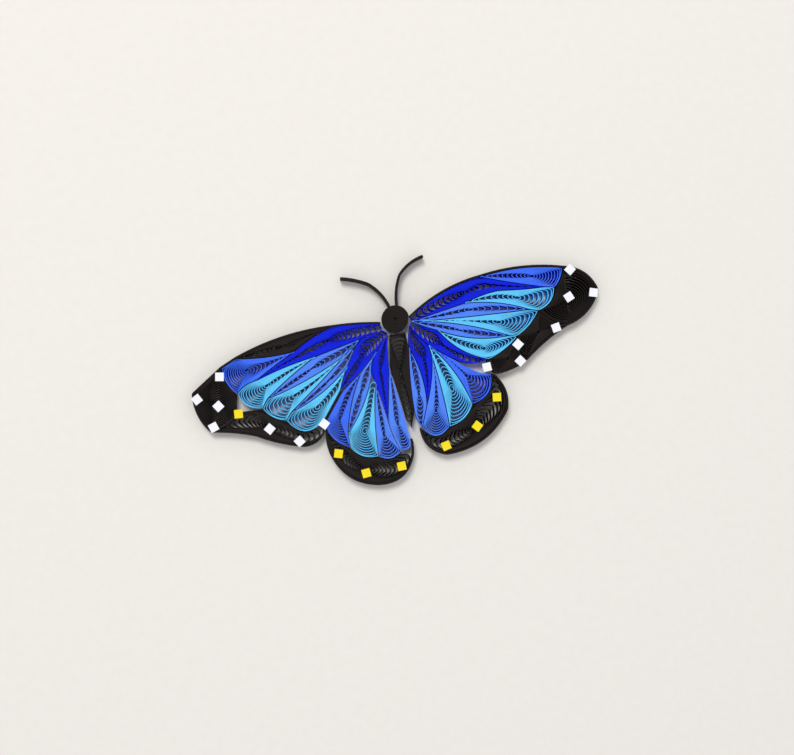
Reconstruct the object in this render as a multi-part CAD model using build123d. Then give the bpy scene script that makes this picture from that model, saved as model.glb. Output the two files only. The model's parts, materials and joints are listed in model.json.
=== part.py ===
from build123d import *
from itertools import combinations, product
import copy
import math
import os

# A quilled paper butterfly, lying flat: paper strips on edge, wound, pinched and glued side by side.
# Millimetres. Origin under the middle, +X to the right wing tip, +Y to the head, +Z up from the glue face.

# Paper stock
STRIP_WIDTH = 3.0          # width of the strip, so the height of every coil
PAPER_THICKNESS = 0.15
GLUE_GAP = 0.08            # between the outsides of two neighbours
EDGE_THICKNESS = 0.45      # three strips glued flat together round each wing
ANTENNA_THICKNESS = 0.6
SQUARE_SIDE = 2.0          # punched squares glued on top
SQUARE_THICKNESS = 0.2

# Winding
MOST_TURNS = 4
TURN_SLACK = 0.02          # air between two turns where they lie closest
EYE_SHARE = 0.18           # size of the innermost turn as a share of the coil
EYE_ROOM = 0.4             # least half width of the innermost turn
WIDEST_EYE = 0.6           # the most that this makes the innermost turn, as a share of the coil
ROUND_BULGE = 0.55         # a rib that bows by more than this gets four steps
CLOSING_ROOM = 0.1         # air beside the strip where the outermost turn closes at its tip
CLOSING_SHARE = 0.9        # how far in it closes, as a share of the way to the first clear place
OUTER_MITRE = 3.0          # longest outer corner, in offsets
INNER_MITRE = 16.0         # longest inner corner, in offsets

# Head
HEAD_DIAMETER = 6.6
HEAD_STEPS = 12
LEFT_ANTENNA_ANGLE = 107.0
RIGHT_ANTENNA_ANGLE = 75.0

# The wings are laid out on a pinning board. Pins are counted in its squares, most of them from another pin
BOARD_GRID = 1.0

PINS = {
    # Where the wings of one side meet
    "lf_front_root": (-3.6, 7.2), "lf_mid_root": (0.2, -1.4, "lf_front_root"),
    "l_root": (1.1, -0.9, "lf_mid_root"), "l_fan1": (-3.2, -4.1, "l_root"),
    "l_fan2": (-4.2, -4.2, "l_fan1"), "rf_front_root": (3.7, 7.8),
    "rf_mid_root": (0.0, -1.0, "rf_front_root"), "r_root": (-0.6, -1.1, "rf_mid_root"),
    "r_fan": (3.9, -5.1, "r_root"), "r_split": (5.5, -4.1, "r_fan"),
    # Left forewing, front to back
    "lf_front_top": (-11.4, 0.9, "lf_front_root"), "lf_royal_tip": (-9.6, -4.5, "lf_front_top"),
    "lf_leading_out": (-13.8, 0.3, "lf_royal_tip"), "lf_royal_front": (-3.6, -1.7, "lf_leading_out"),
    "lf_royal_back": (2.7, -6.6, "lf_royal_front"), "lf_front_out": (4.8, 2.5, "lf_royal_back"),
    "lf_sky1_tip": (4.6, -1.9, "lf_royal_tip"), "lf_sky1_back": (5.3, -4.2, "lf_royal_back"),
    "lf_wedge1_out": (1.5, 2.1, "lf_sky1_back"), "lf_wedge_root": (-5.9, -1.6, "lf_mid_root"),
    "lf_sky2_tip": (-3.7, -3.2, "lf_wedge_root"), "lf_sky2_back": (5.1, -3.6, "lf_sky1_back"),
    "lf_wedge2_out": (1.5, 1.8, "lf_sky2_back"), "lf_sky3_tip": (0.2, -2.7, "lf_sky2_tip"),
    "lf_root_out": (-5.5, -3.6, "l_fan2"), "lf_sky3_back": (-4.9, -6.5, "lf_root_out"),
    "lf_apex_front": (-7.3, -5.1, "lf_royal_front"), "lf_apex_in": (-0.9, -4.3, "lf_royal_back"),
    "lf_apex_back": (-6.2, -3.2, "lf_apex_in"), "lf_margin_top": (1.8, 0.3, "lf_apex_in"),
    "lf_margin_mid": (-7.1, -2.2, "lf_sky2_back"), "lf_margin_in": (-0.7, -2.5, "lf_sky3_back"),
    "lf_margin_low": (-4.7, -2.4, "lf_margin_in"),
    # Right forewing, front to back
    "rf_royal_tip": (17.8, 7.15, "rf_front_root"), "rf_royal_back": (17.4, -4.95, "rf_royal_tip"),
    "rf_royal_front": (2.4, 4.3, "rf_royal_back"), "rf_front_out": (-2.4, 0.4, "rf_royal_back"),
    "rf_sky1_tip": (13.3, 2.5, "rf_mid_root"), "rf_sky1_top": (8.5, 1.8, "rf_sky1_tip"),
    "rf_sky1_back": (-4.6, -5.0, "rf_royal_back"), "rf_wedge1_out": (-2.3, 0.6, "rf_sky1_back"),
    "rf_sky2_tip": (2.6, -0.3, "rf_mid_root"), "rf_sky2_back": (-6.1, -5.3, "rf_sky1_back"),
    "rf_wedge2_out": (-1.9, 0.45, "rf_sky2_back"), "rf_sky3_tip": (3.4, -2.7, "rf_sky2_tip"),
    "rf_root_out": (8.2, -1.2, "r_split"), "rf_apex_right": (7.3, -6.3, "rf_royal_front"),
    "rf_apex_low": (5.9, -4.1, "rf_sky1_back"), "rf_margin_split": (1.3, -5.5, "rf_sky2_back"),
    "rf_margin_low": (1.6, -3.3, "rf_root_out"),
    # Left hindwing, outer edge to body
    "lh_royal_out": (0.5, -2.7, "lf_sky3_back"), "lh_royal_in": (4.9, -4.7, "lh_royal_out"),
    "lh_wedge_out": (-0.2, 3.6, "lh_royal_in"), "lh_sky_tip": (-1.9, -5.4, "l_fan1"),
    "lh_sky_in": (6.2, -2.9, "lh_royal_in"), "lh_middle_tip": (0.7, -2.0, "lh_sky_tip"),
    "lh_dark_out": (1.6, -9.0, "lh_middle_tip"), "lh_middle_in": (5.6, 0.6, "lh_sky_in"),
    "lh_side_tip": (-0.7, -8.2, "l_root"), "lh_side_low": (2.4, 2.4, "lh_middle_in"),
    "lh_tail": (2.1, -12.9, "lh_side_tip"), "lh_margin_left": (0.3, -5.3, "lh_royal_out"),
    "lh_margin_right": (2.2, -1.1, "lh_middle_in"), "lh_margin_low": (-8.3, -5.65, "lh_margin_right"),
    # Right hindwing, body to outer edge
    "rh_side_tip": (-0.8, -5.0, "r_root"), "rh_dark_out": (2.3, -13.9, "rh_side_tip"),
    "rh_middle_tip": (0.4, -2.6, "r_fan"), "rh_tail": (-0.9, -15.2, "rh_side_tip"),
    "rh_middle_in": (1.2, -4.1, "rh_tail"), "rh_sky_in": (6.55, -0.7, "rh_middle_in"),
    "rh_sky_out": (6.15, 4.5, "rh_sky_in"), "rh_royal_out": (5.6, 6.3, "rh_sky_out"),
    "rh_margin_low": (-1.65, -5.9, "rh_sky_in"), "rh_margin_right": (2.1, -8.5, "rh_royal_out"),
    # Body
    "neck_left": (0.4, -0.4, "l_root"), "neck_right": (-1.1, -1.2, "r_root"),
    "tail": (1.15, -1.8, "lh_tail"),
}

# Ribs bow by this much, to the left going from the first pin to the second; the others are straight
BULGES = {
    ("lf_front_root", "lf_front_top"): -0.25, ("lf_front_top", "lf_royal_tip"): -0.45,
    ("lf_royal_tip", "lf_leading_out"): 0.5, ("lf_front_top", "lf_leading_out"): -1.2,
    ("lf_royal_front", "lf_royal_back"): -0.85, ("lf_royal_back", "lf_front_out"): 0.6,
    ("lf_front_out", "lf_royal_tip"): 0.13, ("lf_front_out", "lf_sky1_tip"): 0.37,
    ("lf_royal_back", "lf_sky1_back"): -1.15, ("lf_wedge1_out", "lf_sky1_tip"): 0.3,
    ("lf_wedge1_out", "lf_sky2_tip"): -0.65, ("lf_sky1_back", "lf_sky2_back"): -0.65,
    ("lf_wedge2_out", "lf_sky2_tip"): -0.15, ("lf_wedge2_out", "lf_sky3_tip"): -1.0,
    ("lf_sky2_back", "lf_sky3_back"): -2.5, ("lf_root_out", "lf_sky3_tip"): 0.15,
    ("lf_apex_front", "lf_apex_back"): -0.95, ("lf_apex_back", "lf_apex_in"): -0.5,
    ("lf_apex_back", "lf_margin_mid"): 0.3, ("lf_margin_mid", "lf_margin_low"): -0.4,
    ("lf_margin_low", "lf_margin_in"): -0.8,
    ("rf_front_root", "rf_royal_tip"): 1.25, ("rf_royal_tip", "rf_royal_front"): 1.05,
    ("rf_royal_front", "rf_royal_back"): 0.35, ("rf_front_out", "rf_royal_tip"): 0.2,
    ("rf_front_out", "rf_sky1_top"): 0.15, ("rf_sky1_top", "rf_sky1_tip"): -0.35,
    ("rf_royal_back", "rf_sky1_back"): 1.0, ("rf_wedge1_out", "rf_sky1_tip"): -0.8,
    ("rf_wedge1_out", "rf_sky2_tip"): 0.15, ("rf_sky1_back", "rf_sky2_back"): 0.45,
    ("rf_wedge2_out", "rf_sky2_tip"): -0.75, ("rf_wedge2_out", "rf_sky3_tip"): 1.2,
    ("rf_mid_root", "rf_sky3_tip"): -0.15, ("rf_sky2_back", "rf_root_out"): 0.5,
    ("rf_sky3_tip", "rf_root_out"): -1.3, ("r_split", "rf_root_out"): -1.1,
    ("rf_royal_front", "rf_apex_right"): 1.5, ("rf_apex_right", "rf_apex_low"): 1.4,
    ("rf_apex_low", "rf_sky1_back"): 0.7, ("rf_apex_low", "rf_margin_split"): -0.4,
    ("rf_margin_split", "rf_sky2_back"): 0.8, ("rf_margin_split", "rf_margin_low"): 0.45,
    ("rf_margin_low", "rf_root_out"): 0.5, ("r_root", "r_fan"): -0.2, ("r_fan", "r_split"): -0.1,
    ("lh_royal_out", "lh_royal_in"): -0.55, ("lh_wedge_out", "l_fan2"): 0.65,
    ("lh_wedge_out", "lh_sky_tip"): -0.8, ("lh_sky_tip", "l_fan1"): 0.5,
    ("lh_royal_in", "lh_sky_in"): -0.95, ("lh_sky_in", "lh_middle_tip"): 0.5,
    ("lh_sky_in", "lh_middle_in"): -1.1, ("lh_middle_in", "lh_dark_out"): 0.4,
    ("lh_middle_in", "lh_side_low"): -1.0, ("lh_tail", "lh_side_tip"): -0.1,
    ("lh_royal_out", "lh_margin_left"): -0.3, ("lh_margin_left", "lh_margin_low"): -2.1,
    ("lh_margin_low", "lh_margin_right"): -2.0, ("lh_margin_right", "lh_side_low"): -0.15,
    ("r_root", "rh_side_tip"): -0.2, ("rh_side_tip", "rh_dark_out"): 0.85,
    ("rh_dark_out", "rh_middle_tip"): -0.45, ("rh_tail", "rh_side_tip"): 0.35,
    ("rh_middle_in", "rh_tail"): 0.25, ("rh_middle_in", "rh_sky_in"): -2.0,
    ("rh_sky_in", "rh_middle_tip"): -0.3, ("rh_sky_in", "rh_sky_out"): -0.95,
    ("rh_sky_out", "r_fan"): -1.15, ("rh_sky_out", "rh_royal_out"): -1.6,
    ("rh_royal_out", "r_split"): 0.55, ("rh_middle_in", "rh_margin_low"): -1.5,
    ("rh_margin_low", "rh_margin_right"): -2.3, ("rh_margin_right", "rh_royal_out"): -1.25,
    ("tail", "rh_tail"): 0.1,
}

# Each coil: the pins round it, starting at its pinched tip, and how far along it its eye lies
COILS = {
    "left_forewing_front_coil": (
        "lf_mid_root lf_front_root lf_front_top lf_royal_tip lf_front_out lf_sky1_tip lf_wedge_root",
        0.5),
    "left_forewing_royal_coil": (
        "lf_royal_tip lf_leading_out lf_royal_front lf_royal_back lf_front_out", 0.68),
    "left_forewing_sky_coil_1": (
        "lf_sky1_tip lf_front_out lf_royal_back lf_sky1_back lf_wedge1_out", 0.66),
    "left_forewing_wedge_coil_1": (
        "lf_wedge_root lf_sky1_tip lf_wedge1_out lf_sky2_tip", 0.5),
    "left_forewing_sky_coil_2": (
        "lf_sky2_tip lf_wedge1_out lf_sky1_back lf_sky2_back lf_wedge2_out", 0.66),
    "left_forewing_wedge_coil_2": (
        "lf_wedge_root lf_sky2_tip lf_wedge2_out lf_sky3_tip", 0.5),
    "left_forewing_sky_coil_3": (
        "lf_sky3_tip lf_wedge2_out lf_sky2_back lf_sky3_back lf_root_out", 0.62),
    "left_forewing_root_coil": (
        "l_root lf_mid_root lf_wedge_root lf_sky3_tip lf_root_out l_fan2 l_fan1", 0.5),
    "left_forewing_leading_coil": ("lf_front_top lf_leading_out lf_royal_tip", 0.5),
    "left_forewing_apex_coil": (
        "lf_royal_front lf_apex_front lf_apex_back lf_apex_in lf_royal_back", 0.6),
    "right_forewing_front_coil": (
        "rf_front_root rf_royal_tip rf_front_out rf_sky1_top rf_sky1_tip rf_mid_root", 0.5),
    "right_forewing_royal_coil": (
        "rf_royal_tip rf_royal_front rf_royal_back rf_front_out", 0.64),
    "right_forewing_sky_coil_1": (
        "rf_sky1_tip rf_sky1_top rf_front_out rf_royal_back rf_sky1_back rf_wedge1_out", 0.6),
    "right_forewing_wedge_coil_1": (
        "rf_mid_root rf_sky1_tip rf_wedge1_out rf_sky2_tip", 0.6),
    "right_forewing_sky_coil_2": (
        "rf_sky2_tip rf_wedge1_out rf_sky1_back rf_sky2_back rf_wedge2_out", 0.68),
    "right_forewing_wedge_coil_2": (
        "rf_mid_root rf_sky2_tip rf_wedge2_out rf_sky3_tip", 0.5),
    "right_forewing_sky_coil_3": (
        "rf_sky3_tip rf_wedge2_out rf_sky2_back rf_root_out", 0.58),
    "right_forewing_root_coil": (
        "rf_mid_root rf_sky3_tip rf_root_out r_split r_fan r_root", 0.45),
    "right_forewing_apex_coil": (
        "rf_sky1_back rf_royal_back rf_royal_front rf_apex_right rf_apex_low", 0.5),
    "right_forewing_margin_coil_1": (
        "rf_sky1_back rf_apex_low rf_margin_split rf_sky2_back", 0.5),
    "right_forewing_margin_coil_2": (
        "rf_root_out rf_sky2_back rf_margin_split rf_margin_low", 0.5),
    "left_hindwing_royal_coil": (
        "l_fan2 lh_wedge_out lh_royal_in lh_royal_out lh_royal_top lh_royal_side", 0.62),
    "left_hindwing_wedge_coil": ("l_fan1 lh_sky_tip lh_wedge_out l_fan2", 0.5),
    "left_hindwing_sky_coil": (
        "lh_middle_tip lh_sky_in lh_royal_in lh_wedge_out lh_sky_tip", 0.66),
    "left_hindwing_middle_coil": ("lh_middle_tip lh_dark_out lh_middle_in lh_sky_in", 0.68),
    "left_hindwing_dark_coil": (
        "l_root l_fan1 lh_sky_tip lh_middle_tip lh_dark_out lh_side_tip", 0.42),
    "left_hindwing_body_side_coil": (
        "lh_side_tip lh_dark_out lh_middle_in lh_side_low lh_tail", 0.68),
    "right_hindwing_royal_coil": ("r_fan rh_sky_out rh_royal_out r_split", 0.64),
    "right_hindwing_sky_coil": (
        "r_fan rh_middle_tip rh_sky_in rh_sky_out", 0.62),
    "right_hindwing_middle_coil": (
        "rh_middle_tip rh_dark_out rh_middle_in rh_sky_in", 0.68),
    "right_hindwing_dark_coil": (
        "r_root rh_side_tip rh_dark_out rh_middle_tip r_fan", 0.45),
    "right_hindwing_body_side_coil": ("rh_side_tip rh_dark_out rh_middle_in rh_tail", 0.58),
    "body_coil": ("tail lh_tail lh_side_tip neck_left neck_right rh_side_tip rh_tail", 0.6),
}

# Margin coils that bend round a row of others: the same, with the pin at their other tip
BENT_COILS = {
    "left_forewing_margin_coil": (
        "lf_apex_back lf_margin_mid lf_margin_low lf_margin_in lf_sky3_back lf_sky2_back lf_sky1_back"
        " lf_margin_top lf_apex_in", 0.5, "lf_margin_in"),
    "left_hindwing_margin_coil": (
        "lh_royal_out lh_margin_left lh_margin_low lh_margin_right lh_middle_in lh_sky_in lh_royal_in",
        0.5, "lh_margin_right"),
    "right_hindwing_margin_coil": (
        "rh_royal_out rh_sky_out rh_sky_in rh_middle_in rh_margin_low rh_margin_right",
        0.5, "rh_middle_in"),
}

# Edge strips: the pins along the outside of each wing
EDGE_STRIPS = {
    "left_forewing_edge_strip": "lf_front_root lf_front_top lf_leading_out lf_royal_front lf_apex_front"
    " lf_apex_back lf_margin_mid lf_margin_low lf_margin_in lf_sky3_back lf_root_out",
    "right_forewing_edge_strip": "rf_root_out rf_margin_low rf_margin_split rf_apex_low rf_apex_right"
    " rf_royal_front rf_royal_tip rf_front_root",
    "left_hindwing_edge_strip": "lh_royal_out lh_margin_left lh_margin_low lh_margin_right lh_side_low",
    "right_hindwing_edge_strip": "rh_middle_in rh_margin_low rh_margin_right rh_royal_out",
}

# Antennae: the way from the head's rim to a middle pin and on to the end, with the bows of both stretches
ANTENNAE = {
    "left_antenna": (LEFT_ANTENNA_ANGLE, (-4.2, 5.9), (-10.5, 8.1), (-0.55, -0.25)),
    "right_antenna": (RIGHT_ANTENNA_ANGLE, (1.7, 7.0), (7.8, 10.6), (0.4, 0.6)),
}

# Punched squares: middle and turn in degrees
SQUARES = {
    "left_forewing_white_squares": [
        (-42.75, 0.3, -8), (-48.7, -4.2, 30), (-44.0, -6.5, 35), (-45.8, -11.2, 20), (-32.9, -13.5, 42),
        (-26.4, -17.4, 35), (-20.1, -14.2, 45)],
    "left_forewing_yellow_square": [(-39.6, -8.95, -3)],
    "right_forewing_white_squares": [
        (42.9, 13.6, 40), (47.7, 7.4, -15), (41.7, 7.2, 25), (37.6, 0.4, 12), (28.0, -2.25, 40),
        (28.0, -6.2, 38), (19.9, -6.5, 5)],
    "left_hindwing_yellow_squares": [(-17.8, -21.6, -15), (-12.0, -27.1, 7), (-3.5, -26.7, 4)],
    "right_hindwing_yellow_squares": [(21.2, -13.9, -5), (15.6, -20.0, 45), (7.6, -23.5, 15)],
}


def away(start, end):
    """Unit vector to the right of the way from start to end."""
    length = math.dist(start, end)
    return ((end[1] - start[1]) / length, (start[0] - end[0]) / length)


def shifted(point, direction, distance):
    """The point moved along a direction."""
    return (point[0] + direction[0] * distance, point[1] + direction[1] * distance)


def on_board(point):
    """A place counted in board squares, in millimetres."""
    return (point[0] * BOARD_GRID, point[1] * BOARD_GRID)


def bow(start, end, bulge):
    """Points from start up to, not including, end, along a line that bows to its left."""
    steps = 4 if abs(bulge) > ROUND_BULGE else 2
    right = away(start, end)
    points = []
    for step in range(steps):
        share = step / steps
        middle = (start[0] + (end[0] - start[0]) * share, start[1] + (end[1] - start[1]) * share)
        points.append(shifted(middle, right, -bulge * 4 * share * (1 - share)))
    return points


def rib(start, end):
    """Points along the rib between two pins, not including the second."""
    bulge = BULGES.get((start, end), -BULGES.get((end, start), 0.0))
    return bow(places[start], places[end], bulge * BOARD_GRID)


def chain(names):
    """Points along the ribs from the first of the named pins to the last."""
    points = []
    for start, end in zip(names, names[1:]):
        points += rib(start, end)
    return points + [places[names[-1]]]


def loop(names):
    """Points along the ribs round a coil, counter-clockwise from its tip."""
    points = chain(names + names[:1])[:-1]
    area = sum(a[0] * b[1] - b[0] * a[1] for a, b in zip(points, points[1:] + points[:1]))
    return points if area > 0 else points[:1] + points[:0:-1]


def beside(points, distance, closed=False):
    """A line moved to its right, with mitred corners."""
    result = []
    for index, point in enumerate(points):
        before = points[index - 1] if index or closed else None
        after = points[(index + 1) % len(points)] if index + 1 < len(points) or closed else None
        first = away(before, point) if before else away(point, after)
        second = away(point, after) if after else first
        turning = first[0] * second[1] - first[1] * second[0]
        limit = OUTER_MITRE if turning * distance > 0 else INNER_MITRE
        length = max(math.hypot(first[0] + second[0], first[1] + second[1]), 1e-9)
        stretch = min(2 / length, limit) / length
        mitre = ((first[0] + second[0]) * stretch, (first[1] + second[1]) * stretch)
        result.append(shifted(point, mitre, distance))
    return result


def band(points, thickness):
    """Corners of a strip of a thickness along a line."""
    return beside(points, thickness / 2) + beside(points, -thickness / 2)[::-1]


def strip(points, thickness):
    """A strip on edge along a line, as one solid."""
    face = make_face(Polyline(*band(points, thickness), close=True))
    return extrude(face, amount=STRIP_WIDTH)


def side_of(start, end, point):
    """More than 0 where a point lies left of the way from start to end."""
    return (end[0] - start[0]) * (point[1] - start[1]) - (end[1] - start[1]) * (point[0] - start[0])


def crosses_itself(corners):
    """Whether any two sides of a closed line cross."""
    sides = list(zip(corners, corners[1:] + corners[:1]))
    for (a, b), (c, d) in combinations(sides, 2):
        if side_of(a, b, c) * side_of(a, b, d) < 0 and side_of(c, d, a) * side_of(c, d, b) < 0:
            return True
    return False


def lengths(line):
    """How far along a line each of its points lies, as a share of its whole length."""
    runs = [0.0]
    for start, end in zip(line, line[1:]):
        runs.append(runs[-1] + math.dist(start, end))
    return [run / runs[-1] for run in runs]


def along(line, share):
    """The point at a share of a line's length."""
    stops = lengths(line)
    for index in range(1, len(line)):
        if share <= stops[index] or index == len(line) - 1:
            part = (share - stops[index - 1]) / (stops[index] - stops[index - 1])
            return between(line[index - 1], line[index], part)


def between(start, end, share):
    """The point at a share of the way from start to end."""
    return (start[0] + (end[0] - start[0]) * share, start[1] + (end[1] - start[1]) * share)


def nearest(outline, point):
    """Distance from a point to the nearest side of an outline."""
    distances = []
    for start, end in zip(outline, outline[1:] + outline[:1]):
        run = (end[0] - start[0], end[1] - start[1])
        dot = (point[0] - start[0]) * run[0] + (point[1] - start[1]) * run[1]
        share = max(0.0, min(1.0, dot / (run[0] ** 2 + run[1] ** 2)))
        distances.append(math.dist(point, between(start, end, share)))
    return min(distances)


def wind(outline, far, eye_share, turns, closes):
    """The line of a strip that winds in from the outline's tip, along the middle between its two flanks.

    Where it closes, the outermost turn runs back to the tip before the strip goes on inwards.
    """
    flanks = (outline[:far + 1], outline[:1] + outline[:far - 1:-1])
    stations = lengths(flanks[0]) + lengths(flanks[1])[-2:0:-1]

    def middle(share):
        return between(along(flanks[0], share), along(flanks[1], share), 0.5)

    half_width = nearest(outline, middle(eye_share))
    eye_size = min(max(EYE_SHARE, EYE_ROOM / half_width), WIDEST_EYE)
    inner = []
    for turn in range(1, turns + 1):
        size = 1 - (1 - eye_size) * turn / turns
        for point, station in list(zip(outline, stations))[::2]:
            base = middle(eye_share + (station - eye_share) * size)
            inner.append(shifted(base, (point[0] - middle(station)[0], point[1] - middle(station)[1]), size))
    if not closes:
        return outline + inner[:-1]
    first = inner[0] if inner else middle(eye_share)
    share = min(1.0, (PAPER_THICKNESS + CLOSING_ROOM) / nearest(outline, first))
    return outline + [between(outline[0], first, share * CLOSING_SHARE)] + inner[:-1]


def farthest(outline):
    """Which of the outline's corners and middles lies farthest from its tip."""
    return max(range(0, len(outline), 2), key=lambda index: math.dist(outline[0], outline[index]))


def coil(outline, far, eye_share):
    """A strip wound inside an outline, with as many turns as keep clear of each other."""
    outermost = beside(outline, -(GLUE_GAP + PAPER_THICKNESS) / 2, closed=True)
    for turns, closes in product(range(MOST_TURNS - 1, -1, -1), (True, False)):
        line = wind(outermost, far, eye_share, turns, closes)
        if not crosses_itself(band(line, PAPER_THICKNESS + TURN_SLACK)):
            break
    return strip(line, PAPER_THICKNESS)


def head_middle():
    """Where the head lies, against the body's front end and between the forewings."""
    distance = HEAD_DIAMETER / 2 + GLUE_GAP
    heights = [places["neck_left"][1] + distance]
    for name in ("lf_front_root", "lf_mid_root", "rf_front_root", "rf_mid_root"):
        across, height = places[name]
        if abs(across) < distance:
            heights.append(height + math.sqrt(distance ** 2 - across ** 2))
    return (0.0, max(heights))


def on_rim(middle, angle, radius):
    """A point of a circle round a middle."""
    return shifted(middle, (math.cos(math.radians(angle)), math.sin(math.radians(angle))), radius)


def head(middle):
    """The tight round coil of the head."""
    radius = HEAD_DIAMETER / 2 + GLUE_GAP / 2
    outline = [on_rim(middle, 360 * step / HEAD_STEPS, radius) for step in range(HEAD_STEPS)]
    return coil(outline, farthest(outline), 0.5)


def antenna(middle, angle, halfway, end, bulges):
    """A strip on edge that starts at the head's rim."""
    base = on_rim(middle, angle, HEAD_DIAMETER / 2 + GLUE_GAP)
    stops = [base] + [shifted(base, on_board(way), 1.0) for way in (halfway, end)]
    points = []
    for start, stop, bulge in zip(stops, stops[1:], bulges):
        points += bow(start, stop, bulge * BOARD_GRID)
    return strip(points + stops[-1:], ANTENNA_THICKNESS)


def squares(spots):
    """Punched squares glued on top of the coils."""
    pieces = []
    for across, height, turn in spots:
        place = Location((across * BOARD_GRID, height * BOARD_GRID, STRIP_WIDTH), (0, 0, turn))
        blank = Box(SQUARE_SIDE, SQUARE_SIDE, SQUARE_THICKNESS, align=(Align.CENTER, Align.CENTER, Align.MIN))
        pieces.append(place * blank)
    return Compound(children=pieces)


places = {}
for name, (across, height, *base) in PINS.items():
    places[name] = shifted(places[base[0]] if base else (0.0, 0.0), on_board((across, height)), 1.0)
clear = EDGE_THICKNESS + GLUE_GAP
trailing = away(places["lf_sky3_back"], places["lf_root_out"])
places["lh_royal_top"] = shifted(places["lf_sky3_back"], trailing, clear)
places["lh_royal_side"] = shifted(places["lf_root_out"], trailing, clear)

nodes = {}
for name, (pins, eye_share) in COILS.items():
    outline = loop(pins.split())
    nodes[name] = coil(outline, farthest(outline), eye_share)
for name, (pins, eye_share, last) in BENT_COILS.items():
    outline = loop(pins.split())
    nodes[name] = coil(outline, outline.index(places[last]), eye_share)
for name, pins in EDGE_STRIPS.items():
    middle_line = beside(chain(pins.split()), (GLUE_GAP + EDGE_THICKNESS) / 2)
    nodes[name] = strip(middle_line, EDGE_THICKNESS)
head_place = head_middle()
nodes["head_coil"] = head(head_place)
for name, details in ANTENNAE.items():
    nodes[name] = antenna(head_place, *details)
for name, spots in SQUARES.items():
    nodes[name] = squares(spots)

# The part's own origin is under the middle of the whole butterfly
box = Compound(children=[copy.copy(shape) for shape in nodes.values()]).bounding_box()
to_origin = Location((-(box.min.X + box.max.X) / 2, -(box.min.Y + box.max.Y) / 2, -box.min.Z))

os.makedirs("parts", exist_ok=True)
for name, shape in nodes.items():
    export_step(to_origin * shape, f"parts/{name}.step")
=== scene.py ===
"""Looks of a quilled paper butterfly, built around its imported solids.

Every coil is one paper strip: it is wound here with all its turns, tight along its flanks and
loose towards its ends, inside the outline that its neighbours leave it.
"""

import json
import logging
import math
from dataclasses import dataclass, field
from enum import Enum
from typing import Dict, List, Sequence, Tuple

import bmesh
import bpy
import numpy as np
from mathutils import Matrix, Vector

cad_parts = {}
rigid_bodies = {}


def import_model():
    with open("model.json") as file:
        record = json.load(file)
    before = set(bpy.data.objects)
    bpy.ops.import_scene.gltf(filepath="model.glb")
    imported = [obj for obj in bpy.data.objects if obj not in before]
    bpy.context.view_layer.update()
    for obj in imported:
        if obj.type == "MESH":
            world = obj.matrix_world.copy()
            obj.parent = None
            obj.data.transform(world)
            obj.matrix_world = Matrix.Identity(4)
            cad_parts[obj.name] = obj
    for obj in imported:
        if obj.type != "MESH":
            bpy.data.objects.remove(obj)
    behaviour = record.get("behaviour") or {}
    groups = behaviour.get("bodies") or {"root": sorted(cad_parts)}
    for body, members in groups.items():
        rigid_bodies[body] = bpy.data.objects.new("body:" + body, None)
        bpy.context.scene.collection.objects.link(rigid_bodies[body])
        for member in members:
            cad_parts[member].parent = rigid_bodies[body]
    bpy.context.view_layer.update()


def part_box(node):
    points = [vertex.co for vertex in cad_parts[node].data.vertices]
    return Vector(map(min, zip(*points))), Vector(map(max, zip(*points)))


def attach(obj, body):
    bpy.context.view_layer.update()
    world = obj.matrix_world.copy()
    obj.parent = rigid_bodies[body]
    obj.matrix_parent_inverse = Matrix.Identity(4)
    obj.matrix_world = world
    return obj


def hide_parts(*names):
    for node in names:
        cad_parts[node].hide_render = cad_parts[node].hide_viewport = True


logging.basicConfig(level=logging.INFO, format="%(message)s")
log = logging.getLogger("butterfly")

MM = 0.001
Point = Tuple[float, float]


class Slot(Enum):
    """Papers of the butterfly, by the record's material slots."""

    DARK_BLUE = "dark_blue_paper"
    ROYAL_BLUE = "royal_blue_paper"
    CORNFLOWER_BLUE = "cornflower_blue_paper"
    SKY_BLUE = "sky_blue_paper"
    BLACK = "black_paper"
    WHITE = "white_paper"
    YELLOW = "yellow_paper"


class End(Enum):
    """How a coil ends: pinched to a point, or left round."""

    POINTED = "pointed"
    ROUND = "round"


@dataclass(frozen=True)
class DyedPaper:
    """A paper dyed in the pulp: its colours as sRGB hex, and its face with sizes in millimetres. Its top edge
    colour is lighter, a painted highlight, and its side colour deeper, painted shade.
    """

    slot: Slot
    # face: the sides, in a deeper copy of the paper's colour that stands for painted shade; the next colour
    # is the top edge, a lighter copy that is a painted highlight
    face: str
    painted_edge_highlight: str
    fleck: str
    roughness: float = 0.78
    gloss: float = 0.15
    see_through: float = 0.1
    cloud_size: float = 1.5
    fibre_size: float = 0.09
    relief_depth: float = 0.03


@dataclass(frozen=True)
class CoilPlan:
    """One coil: the pins round it from its tip, where its eye lies, its paper and its most turns.

    Far names the pin at its pointed far end, or the two pins that its round far end lies between.
    """

    pins: str
    eye: float
    slot: Slot
    turns: int = 11
    far: str = ""
    tip: End = End.POINTED


# Paper stock, in millimetres
STRIP_WIDTH = 3.0
PAPER = 0.15
GLUE_GAP = 0.08
EDGE_THICKNESS = 0.45
EDGE_LAYERS = 3
ANTENNA_THICKNESS = 0.6
ANTENNA_LAYERS = 4
LAYER_SHARE = 0.94

# The cut edge of a strip rises and falls by this much, in waves of these lengths
RAGGED = 0.05
RAGGED_WAVES = (2.3, 1.7)

# Winding: pitch of tight turns, the share of a flank that they fill, and how many stay tight at a round end
PITCH = 0.16
PACKED_SHARE = 0.9
TIGHT_TURNS = 2
LEAST_TURNS = 4
EYE_RADIUS = 0.35
BEND_RADIUS = 0.3
# How the turns crowd towards a pointed end, and how late they give up being tight
CROWDING = 1.25
LATENESS = 4
LEAST_ROOM = 0.02
LEAST_STEP = 0.01
EASING_PASSES = 3
FLANK_POINTS = 1200
SMOOTHED_STATIONS = 40

# Head: a tight coil, its turns a little uneven
HEAD_RADIUS = 3.3
HEAD_TURNS = 15
HEAD_STOPS = 48
HEAD_UNEVENNESS = 0.025
HEAD_UNEVEN_RATE = 0.37

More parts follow.
